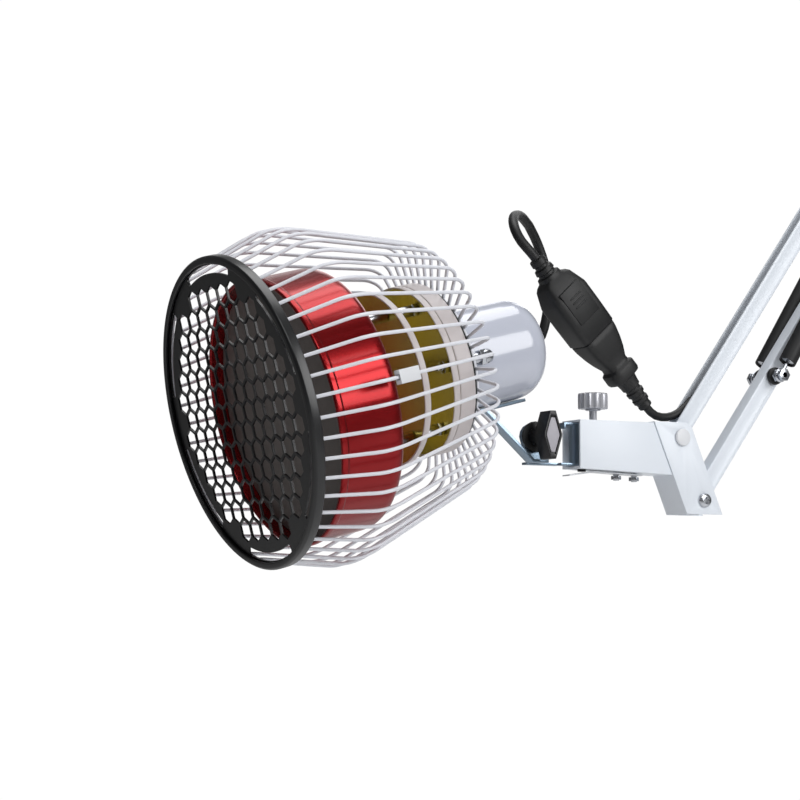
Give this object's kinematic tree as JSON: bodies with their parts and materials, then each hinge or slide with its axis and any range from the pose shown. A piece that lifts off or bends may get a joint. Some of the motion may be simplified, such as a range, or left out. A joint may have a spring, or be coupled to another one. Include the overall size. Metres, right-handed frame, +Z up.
{
  "type": "infrared heat therapy lamp",
  "caption": "Infrared heat therapy lamp: caged red heating drum with a black honeycomb front on a tilting bracket and a white spring-balanced double arm with a stand spigot.",
  "frame": {"origin": "centre of the flat lower face of the stand spigot", "axes": "+Z up along the spigot, +X away from the lamp head in the plane of the arm, -Y towards the side with the tilt knob"},
  "size_m": [0.6016, 0.2136, 0.3936],
  "materials": {
    "black_coat": "satin",
    "white_coat": "satin",
    "red_anodise": "polished",
    "mineral": "matt",
    "ceramic": "matt",
    "olive_plate": "satin",
    "cream_coat": "satin",
    "chrome": "polished",
    "cap_gloss": "gloss",
    "blue_zinc": "satin",
    "steel": "satin",
    "silver_plastic": "satin",
    "grey_plastic": "matt",
    "black_plastic": "matt",
    "rubber": "matt",
    "white_plastic": "satin"
  },
  "bodies": {
    "stand": {"stand_spigot": "steel"},
    "rear_bracket": {"rear_bracket": "white_coat", "upper_rear_pin": "white_plastic", "lower_rear_bolt": "steel", "anchor_stud": "chrome"},
    "upper_arm": {"upper_bar": "white_coat", "arm_lead": "rubber"},
    "lower_arm": {"lower_bar": "white_coat", "spring_stud": "chrome", "stud_bush_near": "rubber", "stud_bush_far": "rubber", "spring_sleeve_near": "rubber", "spring_sleeve_far": "rubber", "coil_spring_near": "steel", "coil_spring_far": "steel"},
    "spring_tails": {"spring_tail_near": "steel", "spring_tail_far": "steel"},
    "front_bracket": {"front_bracket": "white_coat", "head_socket": "white_coat", "upper_front_pin": "white_plastic", "lower_front_bolt": "steel", "leaf_screw_1": "steel", "leaf_screw_2": "steel", "plug_half": "rubber", "socket_half": "rubber", "cord_loop_connector": "rubber", "cord_tail": "rubber"},
    "thumb_screw": {"thumb_screw": "silver_plastic"},
    "latch": {"leaf_spring": "steel", "leaf_button": "rubber"},
    "yoke": {"pan_yoke": "blue_zinc", "tilt_bolt": "steel"},
    "tilt_knob": {"tilt_knob": "black_plastic", "knob_insert": "grey_plastic"},
    "head": {"front_ring": "black_coat", "front_grille": "black_coat", "wire_cage": "white_coat", "wire_clip": "white_plastic", "red_drum": "red_anodise", "mineral_plate": "mineral", "heating_element": "ceramic", "insulating_pad": "ceramic", "front_heat_shield": "olive_plate", "rear_heat_shield": "olive_plate", "stay_rod_1": "chrome", "stay_rod_2": "chrome", "stay_rod_3": "chrome", "terminal_screw_1": "chrome", "terminal_screw_2": "chrome", "terminal_screw_3": "chrome", "terminal_can": "cream_coat", "neck_flange": "rubber", "acorn_nut_1": "chrome", "acorn_nut_2": "chrome", "acorn_nut_3": "chrome", "rear_cap": "cap_gloss", "cable_gland": "rubber", "head_strap": "blue_zinc", "friction_disc": "rubber", "cord_loop_head": "rubber"}
  },
  "joints": [
    {"name": "arm_swivel", "type": "hinge", "parent": "stand", "child": "rear_bracket", "pos_m": [0, 0, 0.03], "axis": [0, 0, 1], "range_deg": [-180, 180]},
    {"name": "arm_lift", "type": "hinge", "parent": "rear_bracket", "child": "upper_arm", "pos_m": [-0.02597, 0, 0.10201], "axis": [0, 1, 0], "range_deg": [-12, 60]},
    {"name": "lower_arm_pivot", "type": "hinge", "parent": "rear_bracket", "child": "lower_arm", "pos_m": [-0.0086, 0, 0.0605], "axis": [0, 1, 0], "range_deg": [-12, 60]},
    {"name": "bracket_level", "type": "hinge", "parent": "upper_arm", "child": "front_bracket", "pos_m": [-0.23757, 0, -0.18923], "axis": [0, 1, 0], "range_deg": [-60, 12], "deforming": ["cord_tail"]},
    {"name": "spring_draw", "type": "slide", "parent": "lower_arm", "child": "spring_tails", "axis": [0.5394, 0, 0.842], "range_m": [-0.018, 0.004]},
    {"name": "head_pan", "type": "hinge", "parent": "front_bracket", "child": "yoke", "pos_m": [-0.30947, 0, -0.18923], "axis": [0, 0, 1], "range_deg": [-30, 30], "deforming": ["cord_loop_connector"]},
    {"name": "head_tilt", "type": "hinge", "parent": "yoke", "child": "head", "pos_m": [-0.34697, 0, -0.19203], "axis": [0, 1, 0], "range_deg": [-55, 10], "deforming": ["cord_loop_head"]},
    {"name": "tilt_knob_turn", "type": "hinge", "parent": "yoke", "child": "tilt_knob", "pos_m": [-0.34697, 0, -0.19203], "axis": [0, 1, 0], "range_deg": [-180, 180]},
    {"name": "thumb_screw_turn", "type": "hinge", "parent": "front_bracket", "child": "thumb_screw", "pos_m": [-0.30037, 0, -0.18003], "axis": [0, 0, 1], "range_deg": [-180, 180]},
    {"name": "latch_press", "type": "hinge", "parent": "front_bracket", "child": "latch", "pos_m": [-0.28257, 0, -0.21423], "axis": [0, 1, 0], "range_deg": [-1.8, 0], "stiffness_Nm_per_rad": 0.5}
  ],
  "couplings": [
    {"joint": "lower_arm_pivot", "follows": "arm_lift", "ratio": 1},
    {"joint": "bracket_level", "follows": "arm_lift", "ratio": -1},
    {"joint": "spring_draw", "follows": "arm_lift", "m_per_rad": -0.0168}
  ]
}
